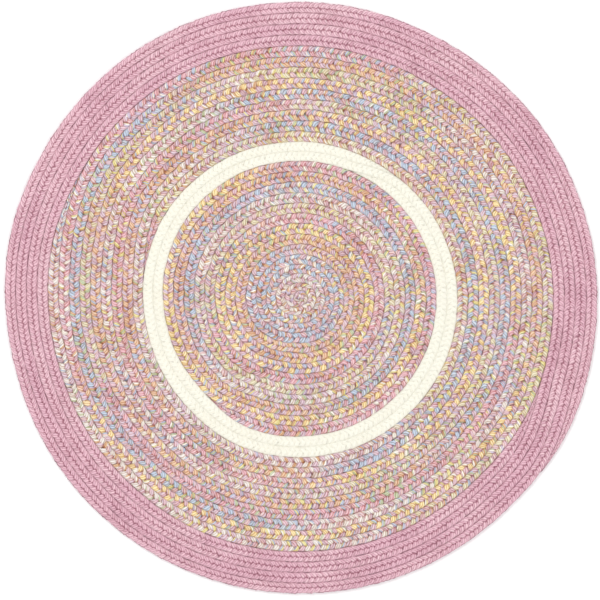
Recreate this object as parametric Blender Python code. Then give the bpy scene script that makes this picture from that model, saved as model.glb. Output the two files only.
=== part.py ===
"""A round braided rug, lying flat.

Four lengths of flat three-strand braid are coiled one after the other, and each row is laced to the
row inside it. A band is one such length: a closed solid that shows its rows as rounded ridges on
both faces, with a groove where the lacing draws two rows together. Where a round is full the braid
climbs by one row, so a band's first row starts there as a taper and its last row ends as one.

Units are metres and degrees. +Z is up, the rug rests on Z = 0, and the origin is under its middle.
"""

import math
from collections import namedtuple

import bmesh
import bpy

# The braid's section.
THICKNESS = 0.012
GROOVE_DEPTH = 0.0034  # how far each face is drawn in between two rows
SHOULDER = 0.27  # where the flat of a row starts, as a share of its width
TAPER_SHARE = 0.5  # a row narrower than this share of its full width gets thinner as well
SEAM_GAP = 0.0003  # between one band's solid and the next

# The places round the rug where its rows are cut into faces. Butts and climbs are whole columns.
COLUMNS = 45

# One length of braid each, from the middle outwards. pitch is a row's width and butt the direction
# in which the length ends. The braid moves out by a row on an arc before it, climb_last degrees long
# in the last round and climb_first in the first one.
Band = namedtuple("Band", "name rows pitch butt climb_first climb_last colour")
BANDS = (
    Band("centre_coil", 14, 0.0218, 224.0, 120.0, 24.0, (0.64, 0.42, 0.40)),
    Band("cream_band", 2, 0.0210, 48.0, 24.0, 24.0, (0.95, 0.94, 0.82)),
    Band("variegated_band", 9, 0.0217, 144.0, 32.0, 32.0, (0.64, 0.42, 0.40)),
    Band("border_band", 4, 0.0223, 320.0, 24.0, 24.0, (0.75, 0.43, 0.52)),
)

# The first rows are coiled tighter than the rest, which takes up one row's width in all.
TIGHT_ROWS = 1.0
TIGHT_FADE = 2.7  # how many rows out the tightness has mostly gone

# How far the rug's circles stand out of true in each direction: one column for a circle inside the
# centre coil and one for each band's outer rim.
Swell = namedtuple("Swell", "direction inside centre cream variegated border")
SWELLS = (
    Swell(0.0, -0.0020, -0.0035, -0.0025, 0.0000, 0.0015),
    Swell(30.0, -0.0025, -0.0040, -0.0045, -0.0025, 0.0005),
    Swell(60.0, -0.0025, -0.0030, -0.0070, -0.0060, -0.0035),
    Swell(90.0, 0.0000, -0.0010, -0.0035, -0.0010, 0.0005),
    Swell(120.0, 0.0020, 0.0020, 0.0005, 0.0025, 0.0030),
    Swell(150.0, 0.0035, 0.0035, 0.0025, 0.0010, 0.0010),
    Swell(165.0, 0.0030, 0.0025, 0.0010, 0.0030, 0.0025),
    Swell(195.0, 0.0005, -0.0020, -0.0025, -0.0030, -0.0035),
    Swell(222.0, -0.0025, -0.0050, -0.0015, -0.0015, -0.0015),
    Swell(248.0, 0.0035, 0.0050, 0.0040, 0.0025, -0.0010),
    Swell(285.0, 0.0030, 0.0005, 0.0025, 0.0015, -0.0005),
    Swell(315.0, 0.0010, -0.0015, 0.0005, -0.0005, -0.0010),
    Swell(332.0, -0.0005, -0.0025, 0.0000, 0.0035, 0.0060),
)
INSIDE_ROWS = 8  # rows of the centre coil within the first of those circles

ROUGHNESS = 0.95
WELD = 1e-6


def smooth(share):
    """A soft rise from 0 to 1."""
    share = min(max(share, 0.0), 1.0)
    return share * share * (3.0 - 2.0 * share)


def rows_wide(band, rows):
    """How far out this many of a band's rows reach from its inner rim."""
    taken_up = TIGHT_ROWS * (1.0 - math.exp(-rows / TIGHT_FADE)) if band is BANDS[0] else 0.0
    return band.pitch * (rows - taken_up)


def rims():
    """The radius of each band's inner rim, from the middle, and last the rug's own radius."""
    radii = [0.0]
    for band in BANDS:
        radii.append(radii[-1] + rows_wide(band, band.rows))
    return radii


RIMS = rims()
SWELL_RADII = [0.0, rows_wide(BANDS[0], INSIDE_ROWS)] + RIMS[1:]


def swell(direction, radius):
    """How far the rug bulges there, read between the rows and the columns of the table."""
    direction %= 360.0
    index = max(i for i, row in enumerate(SWELLS) if row.direction <= direction)
    before, after = SWELLS[index], SWELLS[(index + 1) % len(SWELLS)]
    arc = (after.direction - before.direction) % 360.0
    mix = smooth((direction - before.direction) / arc)
    bulges = [0.0] + [a + (b - a) * mix for a, b in zip(before[1:], after[1:])]
    ring = max(i for i, inner in enumerate(SWELL_RADII[:-1]) if inner <= radius)
    share = (radius - SWELL_RADII[ring]) / (SWELL_RADII[ring + 1] - SWELL_RADII[ring])
    return bulges[ring] + (bulges[ring + 1] - bulges[ring]) * min(share, 1.0)


def reach(direction, radius):
    """The point, seen from above, in this direction on what would be this radius on a true circle."""
    angle = math.radians(direction)
    length = radius + swell(direction, radius)
    return length * math.cos(angle), length * math.sin(angle)


def outline_middle():
    """The middle of the uneven outline, which the origin lies under."""
    outline = [reach(360.0 * i / COLUMNS, RIMS[-1] - SEAM_GAP / 2.0) for i in range(COLUMNS)]
    return [(min(side) + max(side)) / 2.0 for side in zip(*outline)]


MIDDLE_X, MIDDLE_Y = outline_middle()


def rug_point(direction, radius, height):
    x, y = reach(direction, radius)
    return x - MIDDLE_X, y - MIDDLE_Y, height


def climb_turns(band, round_number):
    """The share of a turn in which the braid moves out by one row at the end of this round."""
    early = 1.0 - round_number / (band.rows - 1)
    return (band.climb_last + (band.climb_first - band.climb_last) * early**2) / 360.0


def rows_climbed(band, turns):
    """How many rows out from its band's inner rim the braid's inner edge lies after these turns."""
    rows = 0.0
    for round_number in range(band.rows):
        middle = round_number + 1.0 - climb_turns(band, band.rows - 1) / 2.0
        rows += smooth(0.5 + (turns - middle) / climb_turns(band, round_number))
    return rows


def first_turn(band):
    """Where the braid's first row starts to widen, in turns before its first full round."""
    return -(climb_turns(band, 0) + climb_turns(band, band.rows - 1)) / 2.0


def groove_height(radius):
    """How high the lower face lies in a groove. It is drawn in by less where the coil starts."""
    return GROOVE_DEPTH * smooth(radius / BANDS[0].pitch)


def section(band, turns):
    """The braid's lower face across its width after these turns, from its inner to its outer groove."""
    inner_rim, outer_rim = RIMS[BANDS.index(band)], RIMS[BANDS.index(band) + 1]
    inner = inner_rim + rows_wide(band, rows_climbed(band, turns))
    outer = inner_rim + rows_wide(band, rows_climbed(band, turns + 1.0))
    land = groove_height(inner) * (1.0 - smooth((outer - inner) / (TAPER_SHARE * band.pitch)))
    if inner_rim > 0.0:
        inner = max(inner, inner_rim + SEAM_GAP / 2.0)
        outer = max(outer, inner)
    outer = min(outer, outer_rim - SEAM_GAP / 2.0)
    inner = min(inner, outer)
    shoulder = SHOULDER * (outer - inner)
    direction = band.butt - 360.0 * turns
    return (
        rug_point(direction, inner, groove_height(inner)),
        rug_point(direction, inner + shoulder, land),
        rug_point(direction, outer - shoulder, land),
        rug_point(direction, outer, groove_height(outer)),
    )


def lay_lower_face(bm, band):
    """Sweeps the section along the coil and welds each row to the next, which has the same groove."""
    first = first_turn(band)
    steps = round((band.rows - first) * COLUMNS)
    swept = []
    for step in range(steps + 1):
        swept.append([bm.verts.new(point) for point in section(band, first + step / COLUMNS)])
    for here, there in zip(swept, swept[1:]):
        for i in range(len(here) - 1):
            bm.faces.new((here[i], here[i + 1], there[i + 1], there[i]))
    bmesh.ops.remove_doubles(bm, verts=bm.verts[:], dist=WELD)
    bmesh.ops.dissolve_degenerate(bm, edges=bm.edges[:], dist=WELD)


def add_upper_face(bm):
    """The rug is the same on both sides, so its upper face is the lower one turned over."""
    copy = bmesh.ops.duplicate(bm, geom=bm.verts[:] + bm.edges[:] + bm.faces[:])["geom"]
    verts = [item for item in copy if isinstance(item, bmesh.types.BMVert)]
    bmesh.ops.scale(bm, vec=(1.0, 1.0, -1.0), verts=verts)
    bmesh.ops.translate(bm, vec=(0.0, 0.0, THICKNESS), verts=verts)


def close_rims(bm, band):
    """Joins the two faces by a low wall along the band's inner and outer rims."""
    index = BANDS.index(band)
    between = (RIMS[index] + RIMS[index + 1]) / 2.0
    open_edges = [edge for edge in bm.edges if edge.is_boundary]
    outer = [edge for edge in open_edges if edge.verts[0].co.xy.length > between]
    inner = [edge for edge in open_edges if edge.verts[0].co.xy.length < between]
    for rim in filter(None, (outer, inner)):
        bmesh.ops.bridge_loops(bm, edges=rim)


def braid_material(band):
    material = bpy.data.materials.new(band.name + "_braid")
    material.use_nodes = True
    shader = material.node_tree.nodes["Principled BSDF"]
    shader.inputs["Base Color"].default_value = (*band.colour, 1.0)
    shader.inputs["Roughness"].default_value = ROUGHNESS
    shader.inputs["Metallic"].default_value = 0.0
    material.diffuse_color = (*band.colour, 1.0)
    return material


def make_band(band):
    bm = bmesh.new()
    lay_lower_face(bm, band)
    add_upper_face(bm)
    close_rims(bm, band)
    bmesh.ops.recalc_face_normals(bm, faces=bm.faces[:])
    mesh = bpy.data.meshes.new(band.name)
    bm.to_mesh(mesh)
    bm.free()
    mesh.shade_smooth()
    mesh.materials.append(braid_material(band))
    bpy.context.scene.collection.objects.link(bpy.data.objects.new(band.name, mesh))


def make_rug():
    for obj in list(bpy.data.objects):
        bpy.data.objects.remove(obj)
    for band in BANDS:
        make_band(band)


make_rug()
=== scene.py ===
"""The looks of a round braided rug: every strand of its braid, in spun and dyed yarn.

The rug is four lengths of flat braid coiled one after the other. Here each length becomes its three
strands, which cross over and under one another all along the coil, so that the rows, the stitches
in them and the grooves between them are real shapes.

Units are metres and degrees. +Z is up, the rug rests on Z = 0, and the origin is under its middle.
"""

import math
from collections import namedtuple

import bmesh
import bpy
import numpy as np
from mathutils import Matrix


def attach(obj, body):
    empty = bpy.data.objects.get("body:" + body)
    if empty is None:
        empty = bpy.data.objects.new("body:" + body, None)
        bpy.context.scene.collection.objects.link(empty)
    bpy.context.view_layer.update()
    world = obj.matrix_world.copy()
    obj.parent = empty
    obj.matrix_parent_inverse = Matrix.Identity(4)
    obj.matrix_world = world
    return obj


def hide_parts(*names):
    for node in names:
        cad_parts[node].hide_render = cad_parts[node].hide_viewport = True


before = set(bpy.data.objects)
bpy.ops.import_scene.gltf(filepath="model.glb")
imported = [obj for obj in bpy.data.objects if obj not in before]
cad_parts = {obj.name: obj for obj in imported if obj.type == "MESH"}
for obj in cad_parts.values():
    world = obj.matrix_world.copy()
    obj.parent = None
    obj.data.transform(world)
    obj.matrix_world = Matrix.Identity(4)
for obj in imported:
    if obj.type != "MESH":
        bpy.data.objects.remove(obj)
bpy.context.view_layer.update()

# ---- The coil, as the rug's solids have it ----

THICKNESS = 0.012
GROOVE_DEPTH = 0.0034  # how far each face is drawn in between two rows
TAPER_SHARE = 0.5  # a row narrower than this share of its full width gets thinner as well
SEAM_GAP = 0.0003  # between one band and the next
COLUMNS = 45  # places round the outline at which its middle is measured

# One length of braid each, from the middle outwards. pitch is a row's width and butt the direction
# in which the length ends. The braid moves out by a row on an arc before it, climb_last degrees long
# in the last round and climb_first in the first one.
Band = namedtuple("Band", "name rows pitch butt climb_first climb_last")
BANDS = (
    Band("centre_coil", 14, 0.0218, 224.0, 120.0, 24.0),
    Band("cream_band", 2, 0.0210, 48.0, 24.0, 24.0),
    Band("variegated_band", 9, 0.0217, 144.0, 32.0, 32.0),
    Band("border_band", 4, 0.0223, 320.0, 24.0, 24.0),
)

# The first rows are coiled tighter than the rest, which takes up one row's width in all.
TIGHT_ROWS = 1.0
TIGHT_FADE = 2.7  # how many rows out the tightness has mostly gone

# How far the rug's circles stand out of true in each direction: one column for a circle inside the
# centre coil and one for each band's outer rim.
Swell = namedtuple("Swell", "direction inside centre cream variegated border")
SWELLS = (
    Swell(0.0, -0.0020, -0.0035, -0.0025, 0.0000, 0.0015),
    Swell(30.0, -0.0025, -0.0040, -0.0045, -0.0025, 0.0005),
    Swell(60.0, -0.0025, -0.0030, -0.0070, -0.0060, -0.0035),
    Swell(90.0, 0.0000, -0.0010, -0.0035, -0.0010, 0.0005),
    Swell(120.0, 0.0020, 0.0020, 0.0005, 0.0025, 0.0030),
    Swell(150.0, 0.0035, 0.0035, 0.0025, 0.0010, 0.0010),
    Swell(165.0, 0.0030, 0.0025, 0.0010, 0.0030, 0.0025),
    Swell(195.0, 0.0005, -0.0020, -0.0025, -0.0030, -0.0035),
    Swell(222.0, -0.0025, -0.0050, -0.0015, -0.0015, -0.0015),
    Swell(248.0, 0.0035, 0.0050, 0.0040, 0.0025, -0.0010),
    Swell(285.0, 0.0030, 0.0005, 0.0025, 0.0015, -0.0005),
    Swell(315.0, 0.0010, -0.0015, 0.0005, -0.0005, -0.0010),
    Swell(332.0, -0.0005, -0.0025, 0.0000, 0.0035, 0.0060),
)
INSIDE_ROWS = 8  # rows of the centre coil within the first of those circles

# ---- How the braid is plaited and laced ----

ROW = 0.0218  # the width of a row as it is plaited, before it is fitted to its place in the coil
SNAKE = 0.06  # how much straighter than a sine wave a strand crosses over
EARLY = 0.38  # how much sooner than a sine wave it comes up after it has passed under
OVERHANG = 0.0022  # how far a strand would reach past the row's edge if nothing pressed on it
PRESS = 0.0010  # the edge of a row that is flattened against the next row
SNUG = 0.0007  # how far the first rows, which are coiled tightest, press into one another
SCALLOP = 1.4  # how much the stitches stand out at the rug's own rim, where 1 is as much as inside
STUB = 0.06  # a row narrower than this share of its width is tucked away
FREE_TURNS = 0.125  # the share of a turn in which the border's edge becomes the rug's own rim

# How a band is plaited. repeat is the length from one crossing of a strand to its next on the same
# side, lift how far its middle lies from the braid's middle where it crosses over or under, and
# square how square its section is, where 2 is an oval. dive, top and turn are its half width and
# half height where it dives between the other two, lies on top, and turns at the edge. touch is how
# far it reaches into the next row, and loose scales what its stitches differ by.
Plait = namedtuple("Plait", "repeat lift square dive top turn touch loose")
WOOL_PLAIT = Plait(
    0.0319, 0.0018, 2.6, (0.0054, 0.0030), (0.0066, 0.0038), (0.0039, 0.0045), 0.00015, 1.5
)
CREAM_PLAIT = Plait(
    0.0335, 0.0009, 3.0, (0.0062, 0.0044), (0.0070, 0.0048), (0.0045, 0.0050), 0.0004, 1.0
)
PINK_PLAIT = Plait(
    0.0340, 0.0013, 3.0, (0.0060, 0.0038), (0.0070, 0.0044), (0.0043, 0.0048), 0.0, 1.0
)
PLAITS = {
    "centre_coil": WOOL_PLAIT,
    "cream_band": CREAM_PLAIT,
    "variegated_band": WOOL_PLAIT._replace(repeat=0.03215),
    "border_band": PINK_PLAIT,
}

# What stitches differ by at most, where loose is 1.
LATE = 0.0012  # how much too far along one lies
WIDER = 0.10  # the share by which the strand is too wide
HIGHER = 0.05  # and too high
ASIDE = 0.0004  # how far it lies to one side
PRESSED = 0.0005  # how much too far it reaches into the next row, however loose the plait is

# The lacing has pushed the rows aside here and there, and two rows that touch go the same way.
SHOVE = 0.0015  # how far the many-coloured rows are pushed at most
SHOVE_PLAIN = 0.0003  # and the plain ones
SHOVE_EVERY = 0.009  # from one push to the next
SHOVE_CELLS = 140  # how many of those reach across the rug and a little past it
SHOVE_SEED = 7
SHOVES = np.random.default_rng(SHOVE_SEED).uniform(-1.0, 1.0, (SHOVE_CELLS + 1, SHOVE_CELLS + 1, 2))

# One of the three strands. delay is where it starts in the repeat, girth scales its half widths and
# yarn is what it is made of.
Strand = namedtuple("Strand", "name delay girth yarn")
PLAIN_GIRTH = 0.94


def plain(yarn):
    """Three like strands, evenly spaced."""
    return tuple(Strand(f"strand_{i + 1}", i / 3.0, PLAIN_GIRTH, yarn) for i in range(3))


MANY_COLOURED = (
    Strand("dyed_strand", 0.0, 1.0, "dyed"),
    Strand("marl_strand", 0.37, 1.0, "marl"),
    Strand("mixed_strand", 0.70, 0.78, "mixed"),
)
STRANDS = {
    "centre_coil": MANY_COLOURED,
    "cream_band": plain("cream"),
    "variegated_band": MANY_COLOURED,
    "border_band": plain("pink"),
}
SEEDS_A_BAND = 10

# How finely the strands are drawn.
LIE_STEPS = 720  # places in a turn at which the lie of the braid is worked out
STEPS = 16  # rings of points in a repeat
SIDES = 6  # points round a strand
NUDGE = 1e-3  # a short way on in the repeat, which gives a strand's heading
WELD = 1e-7
BAKE_MARGIN = 0.04  # the share of each fold of a strand's map that is left free on either side

# ---- The yarns ----
# Real yarns of this kind are about 2 mm thick, which is one pixel of the photo. They are drawn some
# 5 mm wide, and so are the turns of their plies and their flecks, because finer ones wouldn't show.

YARN_TURNS = 3.0  # turns of the yarns round their strand in a metre
PLY_TURN = 0.005  # the length of one turn of the plies in a yarn
FLECK = 0.006  # the length of a fleck along a yarn
FLECKS_ACROSS = 1.7  # how many fit across one
FLECK_DETAIL = 2.0
PLY_RISE = 0.25  # how far plies stand out of a yarn, as a share of how far yarns stand out
YARN_RISE = 0.0005
RELIEF = 0.8  # the strength of both

# Spun fibres scatter the light, so yarn is matt, with hardly any shine and a faint down on it.
SPUN_SURFACE = {
    "Roughness": 0.95,
    "Specular IOR Level": 0.2,
    "Sheen Weight": 0.15,
    "Sheen Roughness": 0.6,
}

# Where shade is painted into a strand's colour.
SHALLOW, DEEP = 0.3, 0.9  # from this share of the way down to the rug's middle to that one
TUCK = 0.34  # a stitch this near to the braid's middle, in sines of its crossing, is tucked under, where shade is painted on it
STITCH_START = 1.0 / 6.0  # how long before the braid's middle a stitch starts, in crossings
LACED_FROM = 0.78  # where the laced edge, which has shade painted on it, starts, on the way from a row's middle to its edge
PATCHES, PATCHES_LESS = 8.0, 3.4  # how strongly the patches of painted shade at the lacing come and go
LINE_SHARPNESS = 2.0  # how narrow the painted dark line of shade between two yarns is

# How a strand's yarns lie: how many go round it, how much shade is painted into their colour far
# down, tucked under, at the lacing and between two yarns, and how much their own colour differs in
# flecks and by chance. shade is the neighbours' colour that the painted shade takes on, as light
# bounced off them would, and own how much of the painted shade has the yarn's own colour.
Bundle = namedtuple("Bundle", "shade own yarns deep tucked laced lines mottle uneven")
WOOL = Bundle("#ddccc4", 0.35, 7, 1.2, 1.2, 1.3, 2.3, 3.2, 0.6)
THIN_WOOL = Bundle("#ddccc4", 0.35, 8, 1.2, 1.4, 1.3, 1.9, 2.6, 0.6)
CREAM_COTTON = Bundle("#f4efe2", 0.0, 7, 0.0, 0.0, 0.0, 0.3, 0.8, 0.1)
PINK_COTTON = Bundle("#d6c8cc", 0.12, 7, 0.2, 2.2, 1.1, 1.6, 2.3, 0.3)

# The space-dyed yarn's colours, in their order along it.
DYE_CODES = (
    "#e6dfc2",  # pale green
    "#ece6e1",  # white
    "#c0cfe1",  # blue
    "#eac7a8",  # orange
    "#f7e3ae",  # yellow
    "#e8bac3",  # pink
)
DYE_RUN = 1.194  # the length of one colour along the braid
DYE_BLEND = 0.006  # the share of all the colours over which one changes into the next, each way
# Where in the order of dyes each length of the many-coloured braid starts.
DYE_START = {"centre_coil": 1.65, "variegated_band": 5.91}
DYE_CUT_AT = 4.4  # in the centre coil a pink run was cut short here
DYE_CUT = 0.28  # by this share of a run
UNDYED = "#f4ece0"
UNDYED_PLIES = 0.25  # how much the undyed plies show

MARL_CODES = ("#e8c2cb", "#dbc9d7", "#eaccc3", "#e0c7d1")
MARL_PLY = "#dfc8d0"
MIXED_CODES = ("#ece3a8", "#f6f2ea", "#c5cfe0", "#dfbb98", "#ccd4b6", "#e8cecf", "#d7cbde")
CREAM_CODES = ("#f0ede0", "#efede0", "#eeebde")
PINK_CODES = ("#e6bdc8", "#e2b7c4", "#e9c4cd")
LONG_RUN = 0.9  # the length after which a yarn of the marl or the cotton changes its shade
SHORT_RUN = 0.4  # and a mixed yarn its colour
RUN_SHIFT = 0.37  # how much sooner each next yarn changes

# ---- The studio ----

# The camera looks straight down with a long lens, and frames the rug as the photo does.
PIXELS = 600
PIXEL = 0.0020625  # one pixel of the photo on the rug
POLE_PIXEL = (300.66, 297.95)  # where the photo shows the middle of the coil
LENS = 200.0  # in millimetres, as the sensor's width is
SENSOR = 36.0
FAR_CLIP = 100.0

FLOOR_REACH = 40.0
FLOOR_SIDES = 64
FLOOR_PAINT = "#fcfcfc"
FLOOR_ROUGHNESS = 0.9
SKY_STRENGTH = 0.75

# Two large soft lamps. side is how wide one is, and power is in watts.
Lamp = namedtuple("Lamp", "name place side power")
LAMPS = (
    Lamp("key", (-1.8, 1.8, 4.2), 2.8, 92.0),
    Lamp("fill", (2.2, -1.6, 4.2), 3.0, 61.0),
)


# ---- Laying out the coil ----


def smooth(share):
    """A soft rise from 0 to 1."""
    share = np.clip(share, 0.0, 1.0)
    return share * share * (3.0 - 2.0 * share)


def rows_wide(band, rows):
    """How far out this many of a band's rows reach from its inner rim."""
    taken_up = TIGHT_ROWS * (1.0 - np.exp(-rows / TIGHT_FADE)) if band is BANDS[0] else 0.0
    return band.pitch * (rows - taken_up)


def rims():
    """The radius of each band's inner rim, from the middle, and last the rug's own radius."""
    radii = [0.0]
    for band in BANDS:
        radii.append(radii[-1] + float(rows_wide(band, band.rows)))
    return radii


RIMS = rims()
SWELL_RADII = np.array([0.0, float(rows_wide(BANDS[0], INSIDE_ROWS))] + RIMS[1:])
SWELL_DIRECTIONS = np.array([row.direction for row in SWELLS])
SWELL_TABLE = np.array([(0.0,) + row[1:] for row in SWELLS])


def swell(direction, radius):
    """How far the rug bulges there, read between the rows and the columns of the table."""
    direction = direction % 360.0
    before = np.searchsorted(SWELL_DIRECTIONS, direction, side="right") - 1
    after = (before + 1) % len(SWELLS)
    arc = (SWELL_DIRECTIONS[after] - SWELL_DIRECTIONS[before]) % 360.0
    mix = smooth((direction - SWELL_DIRECTIONS[before]) / arc)
    ring = np.searchsorted(SWELL_RADII, radius, side="right") - 1
    ring = np.clip(ring, 0, len(SWELL_RADII) - 2)
    share = (radius - SWELL_RADII[ring]) / (SWELL_RADII[ring + 1] - SWELL_RADII[ring])
    share = np.minimum(share, 1.0)
    inside = SWELL_TABLE[before, ring] * (1.0 - mix) + SWELL_TABLE[after, ring] * mix
    outside = SWELL_TABLE[before, ring + 1] * (1.0 - mix) + SWELL_TABLE[after, ring + 1] * mix
    return inside + (outside - inside) * share


def reach(direction, radius):
    """The points, seen from above, in these directions on what would be these radii on true circles."""
    angle = np.radians(direction)
    length = radius + swell(direction, radius)
    return np.stack([length * np.cos(angle), length * np.sin(angle)], axis=-1)


def outline_middle():
    """The middle of the uneven outline, which the origin lies under."""
    directions = np.arange(COLUMNS) * 360.0 / COLUMNS
    outline = reach(directions, np.full(COLUMNS, RIMS[-1] - SEAM_GAP / 2.0))
    return (outline.min(axis=0) + outline.max(axis=0)) / 2.0


MIDDLE = outline_middle()


def climb_turns(band, round_number):
    """The share of a turn in which the braid moves out by one row at the end of this round."""
    early = 1.0 - round_number / (band.rows - 1)
    return (band.climb_last + (band.climb_first - band.climb_last) * early**2) / 360.0


def rows_climbed(band, turns):
    """How many rows out from its band's inner rim the braid's inner edge lies after these turns."""
    rows = np.zeros_like(turns)
    for round_number in range(band.rows):
        middle = round_number + 1.0 - climb_turns(band, band.rows - 1) / 2.0
        rows += smooth(0.5 + (turns - middle) / climb_turns(band, round_number))
    return rows


def first_turn(band):
    """Where the braid's first row starts to widen, in turns before its first full round."""
    return -(climb_turns(band, 0) + climb_turns(band, band.rows - 1)) / 2.0


# How a length of braid lies: at each of many places along it, its two edges, how thin it is,
# whether its outer edge is the rug's own rim, and how tightly its rows are coiled.
Lie = namedtuple("Lie", "along inner outer thin free snug")


def lie_of_braid(band):
    """Follows a band's braid round the coil, from the start of its first row to the butt."""
    index = BANDS.index(band)
    turns = np.linspace(first_turn(band), band.rows, LIE_STEPS * band.rows)
    inner = RIMS[index] + rows_wide(band, rows_climbed(band, turns))
    outer = RIMS[index] + rows_wide(band, rows_climbed(band, turns + 1.0))
    groove = GROOVE_DEPTH * smooth(inner / BANDS[0].pitch)
    land = groove * (1.0 - smooth((outer - inner) / (TAPER_SHARE * band.pitch)))
    if RIMS[index] > 0.0:
        inner = np.maximum(inner, RIMS[index] + SEAM_GAP / 2.0)
    outer = np.minimum(outer, RIMS[index + 1] - SEAM_GAP / 2.0)
    kept = outer - inner > STUB * band.pitch
    direction = (band.butt - 360.0 * turns)[kept]
    inner_edge = reach(direction, inner[kept]) - MIDDLE
    outer_edge = reach(direction, outer[kept]) - MIDDLE
    steps = np.diff((inner_edge + outer_edge) / 2.0, axis=0)
    along = np.concatenate([[0.0], np.cumsum(np.hypot(steps[:, 0], steps[:, 1]))])
    free = np.zeros_like(along)
    if band is BANDS[-1]:
        free = smooth((turns[kept] - (band.rows - 1)) / FREE_TURNS)
    snug = SNUG * np.exp(-inner[kept] / (TIGHT_FADE * band.pitch))
    return Lie(along, inner_edge, outer_edge, 1.0 - 2.0 * land[kept] / THICKNESS, free, snug)


def read(lie, name, there):
    """What the lie has under this name, read between its own places."""
    values = getattr(lie, name)
    if values.ndim == 1:
        return np.interp(there, lie.along, values)
    return np.stack([np.interp(there, lie.along, column) for column in values.T], axis=-1)


# ---- Plaiting a strand ----


def snake(plait, phase):
    """A strand's place across the braid, from -1 to 1, and its place above the middle."""
    across = (np.sin(phase) + SNAKE * np.sin(3.0 * phase)) / (1.0 - SNAKE)
    above = plait.lift * (np.sin(2.0 * phase) + EARLY * np.sin(4.0 * phase))
    return across, above


def sized(plait, phase, which):
    """A half size of the strand's section at this phase, between its three values."""
    on_top = np.sin(2.0 * phase) ** 2
    diving = np.cos(phase) ** 2 > 0.5
    between = np.where(diving, plait.dive[which], plait.turn[which])
    return plait.top[which] * on_top + between * (1.0 - on_top)


def wander(rng, along, every, amount):
    """A random drift along the braid, up to this amount."""
    knots = np.arange(-every, along.max() + 2.0 * every, every)
    return np.interp(along, knots, rng.uniform(-amount, amount, len(knots)))


def turned(plait, phase, span, repeat):
    """The directions sideways and upward from a strand's own heading."""
    across, above = snake(plait, phase)
    next_across, next_above = snake(plait, phase + NUDGE)
    stride = NUDGE * repeat / (2.0 * math.pi)
    slope = (next_across - across) * span / stride
    rise = (next_above - above) / stride
    heading = np.stack([np.ones_like(phase), slope, rise], axis=-1)
    heading /= np.linalg.norm(heading, axis=-1, keepdims=True)
    sideways = np.stack([-heading[:, 1], heading[:, 0], np.zeros_like(phase)], axis=-1)
    sideways /= np.linalg.norm(sideways, axis=-1, keepdims=True)
    return sideways, np.cross(heading, sideways)


def section(plait, side):
    """How far out on the strand's section its sides lie, across and upward, from -1 to 1."""
    angle = 2.0 * math.pi * (side + 0.5) / SIDES
    ways = (np.cos(angle), np.sin(angle))
    return [np.sign(way) * np.abs(way) ** (2.0 / plait.square) for way in ways]


def tip_size(plait, along, length):
    """The share of its size that a strand has near the braid's two ends, where it closes."""
    tip = np.clip(np.minimum(along, length - along) / (plait.repeat / 2.0), 0.0, 1.0)
    return np.sqrt(tip * (2.0 - tip))


def plaited(plait, strand, along, side, length, repeat, rng):
    """Where a strand's points lie in straight braid that nothing presses on, and their phases."""
    stitch = plait.repeat / 2.0
    crossing = plait.repeat / 3.0
    late = wander(rng, along, stitch, LATE * plait.loose)
    phase = 2.0 * math.pi * ((along + late) / repeat - strand.delay)
    wider = 1.0 + wander(rng, along, crossing, WIDER * plait.loose)
    higher = 1.0 + wander(rng, along, crossing, HIGHER * plait.loose)
    half_width = sized(plait, phase, 0) * strand.girth * wider
    half_height = sized(plait, phase, 1) * higher
    span = ROW / 2.0 + OVERHANG - plait.turn[0] * strand.girth
    across, above = snake(plait, phase)
    sideways, upward = turned(plait, phase, span, repeat)
    wide, high = section(plait, side)
    tip = tip_size(plait, along, length)
    place = np.stack([along, across * span, above], axis=-1)
    place[:, 1] += wander(rng, along, stitch, ASIDE * plait.loose)
    place += (half_width * wide * tip)[:, None] * sideways
    place += (half_height * high * tip)[:, None] * upward
    return place, phase


def pressed(across, free, touch):
    """Flattens what would reach past the row's edges, but at the rug's own rim only draws it in."""
    start = ROW / 2.0 + touch - PRESS
    far = np.maximum(np.abs(across) - start, 0.0)
    flat = np.minimum(np.abs(across), start) + PRESS * (1.0 - np.exp(-far / PRESS))
    drawn_in = ROW / 2.0 * (np.abs(across) / (ROW / 2.0 + OVERHANG)) ** SCALLOP
    share = np.where(across > 0.0, free, 0.0)
    return np.sign(across) * (flat * (1.0 - share) + drawn_in * share)


def shoved(place):
    """How far the lacing has pushed the rows aside, which is the same for two rows that touch."""
    cell = place / SHOVE_EVERY + SHOVE_CELLS / 2.0
    column, row = np.floor(cell).astype(int).T
    across, up = smooth(cell - np.floor(cell)).T[:, :, None]
    lower = SHOVES[column, row] * (1.0 - across) + SHOVES[column + 1, row] * across
    upper = SHOVES[column, row + 1] * (1.0 - across) + SHOVES[column + 1, row + 1] * across
    radius = np.hypot(*(place + MIDDLE).T)
    radii = (RIMS[1] - ROW, RIMS[1], RIMS[2], RIMS[2] + ROW, RIMS[3] - ROW, RIMS[3])
    amounts = (SHOVE, SHOVE_PLAIN, SHOVE_PLAIN, SHOVE, SHOVE, SHOVE_PLAIN)
    return (lower * (1.0 - up) + upper * up) * np.interp(radius, radii, amounts)[:, None]


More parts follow.
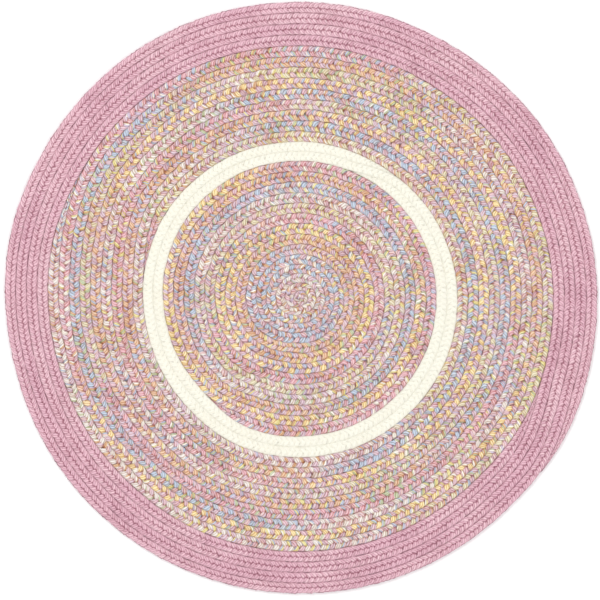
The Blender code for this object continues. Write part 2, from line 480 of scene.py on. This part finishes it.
def lay_strand(plait, lie, strand, ring, side, steps, seed):
    """Where each point of a strand lies in the rug, from its ring along the strand and its side
    round it, how many times it has crossed the braid by then and how near it is to the row's edge."""
    rng = np.random.default_rng(seed)
    length = lie.along[-1]
    along = ring / steps * length
    repeat = length / (steps / STEPS)
    place, phase = plaited(plait, strand, along, side, length, repeat, rng)
    there = np.clip(place[:, 0], 0.0, length)
    touch = plait.touch + read(lie, "snug", there) + wander(rng, along, plait.repeat / 2.0, PRESSED)
    share = 0.5 + pressed(place[:, 1], read(lie, "free", there), touch) / ROW
    inner, outer = read(lie, "inner", there), read(lie, "outer", there)
    point = np.empty_like(place)
    point[:, :2] = inner + (outer - inner) * share[:, None]
    point[:, :2] += shoved(point[:, :2])
    flattened = np.clip(place[:, 2], -THICKNESS / 2.0, THICKNESS / 2.0)
    point[:, 2] = THICKNESS / 2.0 + flattened * read(lie, "thin", there)
    return point, phase / math.pi, np.abs(share - 0.5) * 2.0


def numbers(items, name, width=1, kind=np.float32):
    """Reads a value of all the vertices or corners of a mesh, such as their places, as an array."""
    found = np.empty(len(items) * width, kind)
    items.foreach_get(name, found)
    return found.reshape(-1, width) if width > 1 else found


def flat_strip(name, steps):
    """A flat strip of faces, with the ring and the side of the strand that each point is for."""
    bm = bmesh.new()
    bmesh.ops.create_grid(bm, x_segments=steps, y_segments=SIDES, size=0.5)
    mesh = bpy.data.meshes.new(name)
    bm.to_mesh(mesh)
    bm.free()
    flat = numbers(mesh.vertices, "co", 3)
    ring = np.rint((flat[:, 0] + 0.5) * steps)
    side = np.rint((flat[:, 1] + 0.5) * SIDES)
    return mesh, ring, side


def lay_map(mesh, name, along, across):
    """Gives the mesh a UV map with these two numbers at each corner of its faces."""
    pairs = np.stack([along, across], axis=-1).astype(np.float32)
    mesh.uv_layers.new(name=name).uv.foreach_set("vector", pairs.ravel())


def map_strand(mesh, ring, side, steps, length, girth):
    """One map by length, for the yarns, and one folded into a square, to bake images into."""
    corner = numbers(mesh.loops, "vertex_index", 1, np.int32)
    ring, side = ring[corner], side[corner]
    lay_map(mesh, "strand", ring / steps * length, side / SIDES)
    folds = math.ceil(math.sqrt(length / girth))
    in_fold = math.ceil(steps / folds)
    fold = np.floor(ring.reshape(-1, 4).min(axis=1).repeat(4) / in_fold)
    across = (fold + BAKE_MARGIN + (1.0 - 2.0 * BAKE_MARGIN) * side / SIDES) / folds
    lay_map(mesh, "OFBake", (ring - fold * in_fold) / in_fold, across)


def dyed(band, along):
    """How many runs of colour lie before each place along the braid."""
    runs = DYE_START.get(band.name, 0.0) + along / DYE_RUN
    if band.name == "centre_coil":
        runs += DYE_CUT * (along > DYE_CUT_AT)
    return runs


def give_values(mesh, **values):
    """Gives the mesh's points numbers for its material to read."""
    for name, value in values.items():
        attribute = mesh.attributes.new(name, "FLOAT", "POINT")
        attribute.data.foreach_set("value", value.astype(np.float32))


def close_tube(mesh):
    """Joins the strip's two long sides, and its ends, now that they lie together."""
    bm = bmesh.new()
    bm.from_mesh(mesh)
    bmesh.ops.remove_doubles(bm, verts=bm.verts[:], dist=WELD)
    bmesh.ops.recalc_face_normals(bm, faces=bm.faces[:])
    bm.to_mesh(mesh)
    bm.free()


def make_strand(band, lie, strand, seed):
    """One strand of a band: a flat strip of faces, rolled into a tube and laid along the braid."""
    plait = PLAITS[band.name]
    length = lie.along[-1]
    steps = round(length / plait.repeat) * STEPS
    mesh, ring, side = flat_strip(f"{band.name}_{strand.name}", steps)
    point, crossings, edge = lay_strand(plait, lie, strand, ring, side, steps, seed)
    mesh.vertices.foreach_set("co", point.astype(np.float32).ravel())
    map_strand(mesh, ring, side, steps, length, 4.0 * sum(plait.top) * strand.girth)
    # How near each point lies to the rug's middle, half way between its faces, where the material
    # paints shade.
    depth = np.clip(1.0 - np.abs(point[:, 2] / (THICKNESS / 2.0) - 1.0), 0.0, 1.0)
    runs = dyed(band, ring / steps * length)
    give_values(mesh, depth=depth, dye=runs, crossings=crossings, edge=edge)
    close_tube(mesh)
    mesh.shade_smooth()
    piece = bpy.data.objects.new(mesh.name, mesh)
    bpy.context.scene.collection.objects.link(piece)
    return piece


# ---- Spinning and dyeing the yarns, and painting shade into their colour ----


def colour(code):
    """The linear colour of an sRGB hex code."""
    parts = [int(code[i : i + 2], 16) / 255.0 for i in (1, 3, 5)]
    linear = [part / 12.92 if part <= 0.04045 else ((part + 0.055) / 1.055) ** 2.4 for part in parts]
    return (*linear, 1.0)


def add(tree, kind, inputs=(), output=0, stops=(), blend="LINEAR", **settings):
    """Adds a node with its settings, sets or links its inputs, and gives one of its outputs. stops
    are a colour ramp's places and hex codes, and blend is how it goes from one to the next."""
    node = tree.nodes.new("ShaderNode" + kind)
    for name, value in settings.items():
        setattr(node, name, value)
    if stops:
        node.color_ramp.interpolation = blend
    for index, (place, code) in enumerate(stops):
        elements = node.color_ramp.elements
        element = elements[index] if index < len(elements) else elements.new(1.0)
        element.position, element.color = place, colour(code)
    for socket, value in inputs.items() if isinstance(inputs, dict) else enumerate(inputs):
        if isinstance(value, bpy.types.NodeSocket):
            tree.links.new(value, node.inputs[socket])
        else:
            node.inputs[socket].default_value = value
    return node.outputs[output]


# What the nodes know about a spot on a strand: how far along it is, how many yarns round, on which
# yarn, how near to its crown and how high on a ply, that yarn's chance, how often the strand has
# crossed the braid, and that stitch's luck.
Spot = namedtuple("Spot", "along counted yarn crown ply chance crossings luck")


def find_spot(tree, bundle):
    """Yarns side by side, which wind slowly round the strand, each twisted from two plies."""
    strand = add(tree, "UVMap", uv_map="strand")
    along = add(tree, "SeparateXYZ", (strand,), output="X")
    round_it = add(tree, "SeparateXYZ", (strand,), output="Y")
    wound = add(tree, "Math", (along, YARN_TURNS, round_it), operation="MULTIPLY_ADD")
    counted = add(tree, "Math", (wound, bundle.yarns), operation="MULTIPLY")
    wrapped = add(tree, "Math", (counted, bundle.yarns), operation="FLOORED_MODULO")
    yarn = add(tree, "Math", (wrapped,), operation="FLOOR")
    within = add(tree, "Math", (counted,), operation="FRACT")
    half_turn = add(tree, "Math", (within, math.pi), operation="MULTIPLY")
    crown = add(tree, "Math", (half_turn,), operation="SINE")
    chance = add(tree, "TexWhiteNoise", {"W": yarn}, output="Value", noise_dimensions="1D")
    plied = add(tree, "Math", (along, 1.0 / PLY_TURN, within), operation="MULTIPLY_ADD")
    plied = add(tree, "Math", (plied, chance), operation="ADD")
    ply_turn = add(tree, "Math", (plied, 2.0 * math.pi), operation="MULTIPLY")
    ply = add(tree, "Math", (ply_turn,), operation="SINE")
    # A stitch starts on the lower face, shortly before the strand comes up at the braid's middle,
    # and goes on over the edge until it is about to come up again.
    crossings = add(tree, "Attribute", output="Fac", attribute_name="crossings")
    stitch = add(tree, "Math", (crossings, STITCH_START), operation="ADD")
    stitch = add(tree, "Math", (stitch,), operation="FLOOR")
    luck = add(tree, "TexWhiteNoise", {"W": stitch}, output="Value", noise_dimensions="1D")
    return Spot(along, counted, yarn, crown, ply, chance, crossings, luck)


def by_chance(tree, spot, codes, length):
    """Colours that each yarn takes by chance, and changes after about this length."""
    shifted = add(tree, "Math", (spot.yarn, RUN_SHIFT, spot.along), operation="MULTIPLY_ADD")
    run = add(tree, "Math", (shifted, length), operation="DIVIDE")
    run = add(tree, "Math", (run,), operation="FLOOR")
    key = add(tree, "CombineXYZ", (spot.yarn, run))
    chance = add(tree, "TexWhiteNoise", {"Vector": key}, output="Value", noise_dimensions="2D")
    stops = [(index / len(codes), code) for index, code in enumerate(codes)]
    return add(tree, "ValToRGB", (chance,), stops=stops, blend="CONSTANT")


def space_dyed(tree, spot):
    """One colour after another along the braid, with a short change between two."""
    runs = add(tree, "Attribute", output="Fac", attribute_name="dye")
    share = add(tree, "Math", (runs, len(DYE_CODES)), operation="DIVIDE")
    share = add(tree, "Math", (share,), operation="FRACT")
    stops = []
    for index, code in enumerate(DYE_CODES):
        start, end = index / len(DYE_CODES), (index + 1) / len(DYE_CODES)
        stops.append((start + (DYE_BLEND if index else 0.0), code))
        stops.append((end - (DYE_BLEND if index < len(DYE_CODES) - 1 else 0.0), code))
    dye = add(tree, "ValToRGB", (share,), stops=stops)
    # A few undyed plies stay pale all along.
    pale = add(tree, "Math", (spot.ply, 0.5, spot.luck), operation="MULTIPLY_ADD")
    pale = add(tree, "Math", (pale, UNDYED_PLIES), operation="MULTIPLY")
    mixed = {"Factor": pale, 6: dye, 7: colour(UNDYED)}
    return add(tree, "Mix", mixed, output=2, data_type="RGBA")


def marled(tree, spot):
    """A ply of one shade twisted with a ply of another, which changes along the yarn."""
    share = add(tree, "Math", (spot.ply, 0.5, 0.5), operation="MULTIPLY_ADD")
    mixed = {"Factor": share, 6: by_chance(tree, spot, MARL_CODES, LONG_RUN), 7: colour(MARL_PLY)}
    return add(tree, "Mix", mixed, output=2, data_type="RGBA")


def mixed_yarns(tree, spot):
    """Yarns of all the rug's colours side by side."""
    return by_chance(tree, spot, MIXED_CODES, SHORT_RUN)


def cream_yarns(tree, spot):
    """Undyed yarns that differ by hardly more than a shade."""
    return by_chance(tree, spot, CREAM_CODES, LONG_RUN)


def pink_yarns(tree, spot):
    """Yarns dyed one pink, a little deeper here and there."""
    return by_chance(tree, spot, PINK_CODES, LONG_RUN)


def flecks_of(tree, spot):
    """Flecks that lie along the yarns, from 0 to 1 and mostly about a half."""
    far = add(tree, "Math", (spot.along, FLECK), operation="DIVIDE")
    across = add(tree, "Math", (spot.counted, FLECKS_ACROSS), operation="MULTIPLY")
    place = add(tree, "CombineXYZ", (far, across, spot.chance))
    return add(tree, "TexNoise", {"Vector": place, "Scale": 1.0, "Detail": FLECK_DETAIL})


def painted_shade_and_tone(tree, bundle, spot):
    """How much shade is painted on a spot, as often as the light that reaches it has met yarn on its
    way, and how much its own colour differs in flecks and by chance.
    """
    soft = {"interpolation_type": "SMOOTHSTEP"}
    # Painted shade, deeper the nearer a spot lies to the rug's middle.
    depth = add(tree, "Attribute", output="Fac", attribute_name="depth")
    sunk = add(tree, "MapRange", (depth, SHALLOW, DEEP), **soft)
    power = add(tree, "Math", (sunk, bundle.deep), operation="MULTIPLY")
    # Painted shade where a stitch comes up from under another one at the braid's middle.
    off_centre = add(tree, "Math", (spot.crossings, math.pi), operation="MULTIPLY")
    off_centre = add(tree, "Math", (off_centre,), operation="SINE")
    off_centre = add(tree, "Math", (off_centre,), operation="ABSOLUTE")
    under = add(tree, "MapRange", (off_centre, 0.0, TUCK, 1.0, 0.0), **soft)
    power = add(tree, "Math", (under, bundle.tucked, power), operation="MULTIPLY_ADD")
    # Painted shade in the crevice between two yarns.
    between = add(tree, "Math", (1.0, spot.crown), operation="SUBTRACT")
    between = add(tree, "Math", (between, LINE_SHARPNESS), operation="POWER")
    power = add(tree, "Math", (between, bundle.lines, power), operation="MULTIPLY_ADD")
    # Where two rows are laced together hardly any light gets in, so shade is painted there, here more
    # and there less.
    fleck = flecks_of(tree, spot)
    edge = add(tree, "Attribute", output="Fac", attribute_name="edge")
    laced = add(tree, "MapRange", (edge, LACED_FROM, 1.0), **soft)
    patch = add(tree, "Math", (fleck, PATCHES, -PATCHES_LESS), operation="MULTIPLY_ADD")
    patch = add(tree, "Math", (patch, 0.0), operation="MAXIMUM")
    seam = add(tree, "Math", (laced, patch), operation="MULTIPLY")
    power = add(tree, "Math", (seam, bundle.laced, power), operation="MULTIPLY_ADD")
    # Flecks and each yarn's and stitch's chance make the yarn's own colour uneven, which is no shade.
    chances = ((fleck, bundle.mottle), (spot.chance, bundle.uneven), (spot.luck, bundle.uneven))
    for chance, amount in chances:
        more = add(tree, "Math", (chance, 0.5), operation="SUBTRACT")
        power = add(tree, "Math", (more, amount, power), operation="MULTIPLY_ADD")
    return add(tree, "Math", (power, 0.0), operation="MAXIMUM")


def with_painted_shade(tree, bundle, base, power):
    """The yarn's colour with painted shade: dimmed by its own and its neighbours' as often as the light
    has met them.
    """
    met = {"Factor": bundle.own, 6: colour(bundle.shade), 7: base}
    met = add(tree, "Mix", met, output=2, data_type="RGBA")
    dimming = add(tree, "Gamma", {"Color": met, "Gamma": power})
    dimmed = {"Factor": 1.0, 6: base, 7: dimming}
    return add(tree, "Mix", dimmed, output=2, data_type="RGBA", blend_type="MULTIPLY")


def relief(tree, spot):
    """Rounded yarns with their plies standing out of them."""
    height = add(tree, "Math", (spot.ply, PLY_RISE, spot.crown), operation="MULTIPLY_ADD")
    return add(tree, "Bump", {"Height": height, "Distance": YARN_RISE, "Strength": RELIEF})


def spun_yarn(name, bundle, dye):
    """A strand of soft, matt yarns, with shade painted into their colour wherever the light has less of
    a way in.
    """
    material = bpy.data.materials.new(name)
    material.use_nodes = True
    tree = material.node_tree
    shader = tree.nodes["Principled BSDF"]
    for socket, value in SPUN_SURFACE.items():
        shader.inputs[socket].default_value = value
    spot = find_spot(tree, bundle)
    base = with_painted_shade(tree, bundle, dye(tree, spot), painted_shade_and_tone(tree, bundle, spot))
    tree.links.new(base, shader.inputs["Base Color"])
    tree.links.new(relief(tree, spot), shader.inputs["Normal"])
    return material


def make_yarns():
    """The five yarns of the rug, by the name that the strands have for them."""
    return {
        # Woollen yarn of a pink and a lilac ply, which reads as a soft pink that is nowhere even.
        "marl": spun_yarn("pink_marl_wool_yarn", WOOL, marled),
        # Woollen yarn dyed in lengths, which gives each row one clear pastel after another.
        "dyed": spun_yarn("space_dyed_wool_yarn", WOOL, space_dyed),
        # Thinner woollen yarns of several colours, which show as short bright ticks.
        "mixed": spun_yarn("thin_mixed_wool_yarns", THIN_WOOL, mixed_yarns),
        # Undyed combed cotton, so pale that light gets into its crevices and they hardly show.
        "cream": spun_yarn("cream_cotton_yarn", CREAM_COTTON, cream_yarns),
        # Dyed combed cotton, smoother than the wool, with rose shade painted into the crevices between
        # its stitches.
        "pink": spun_yarn("pink_cotton_yarn", PINK_COTTON, pink_yarns),
    }


# ---- Setting up the studio and the rug ----


def make_camera():
    data = bpy.data.cameras.new("camera")
    data.lens = LENS
    data.sensor_width = SENSOR
    data.clip_end = FAR_CLIP
    camera = bpy.data.objects.new("camera", data)
    x = -MIDDLE[0] - (POLE_PIXEL[0] - PIXELS / 2.0) * PIXEL
    y = -MIDDLE[1] + (POLE_PIXEL[1] - PIXELS / 2.0) * PIXEL
    camera.location = (x, y, THICKNESS / 2.0 + PIXELS * PIXEL * LENS / SENSOR)
    bpy.context.scene.collection.objects.link(camera)
    bpy.context.scene.camera = camera


def make_lamp(lamp):
    """A large soft lamp that looks at the rug's middle and that the camera doesn't see."""
    data = bpy.data.lights.new(lamp.name, "AREA")
    data.shape = "SQUARE"
    data.size = lamp.side
    data.energy = lamp.power
    light = bpy.data.objects.new(lamp.name, data)
    light.location = lamp.place
    light.rotation_euler = (-light.location).to_track_quat("-Z", "Y").to_euler()
    light.visible_camera = False
    bpy.context.scene.collection.objects.link(light)


def make_floor():
    """A wide floor under matt white paint, which is even and hardly shines."""
    bm = bmesh.new()
    bmesh.ops.create_circle(bm, cap_ends=True, segments=FLOOR_SIDES, radius=FLOOR_REACH)
    mesh = bpy.data.meshes.new("floor")
    bm.to_mesh(mesh)
    bm.free()
    paint = bpy.data.materials.new("matt_white_paint")
    paint.use_nodes = True
    shader = paint.node_tree.nodes["Principled BSDF"]
    shader.inputs["Base Color"].default_value = colour(FLOOR_PAINT)
    shader.inputs["Roughness"].default_value = FLOOR_ROUGHNESS
    mesh.materials.append(paint)
    floor = bpy.data.objects.new("floor", mesh)
    bpy.context.scene.collection.objects.link(floor)


def make_studio():
    make_floor()
    world = bpy.data.worlds.new("studio")
    world.use_nodes = True
    background = world.node_tree.nodes["Background"]
    background.inputs["Color"].default_value = (1.0, 1.0, 1.0, 1.0)
    background.inputs["Strength"].default_value = SKY_STRENGTH
    bpy.context.scene.world = world
    for lamp in LAMPS:
        make_lamp(lamp)
    bpy.context.scene.view_settings.view_transform = "Standard"


def make_rug():
    """Replaces each band's solid by the three strands of its braid."""
    yarns = make_yarns()
    for number, band in enumerate(BANDS):
        lie = lie_of_braid(band)
        for place, strand in enumerate(STRANDS[band.name]):
            piece = make_strand(band, lie, strand, SEEDS_A_BAND * number + place)
            piece.data.materials.append(yarns[strand.yarn])
            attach(piece, "root")
            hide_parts(band.name)


make_camera()
make_studio()
make_rug()
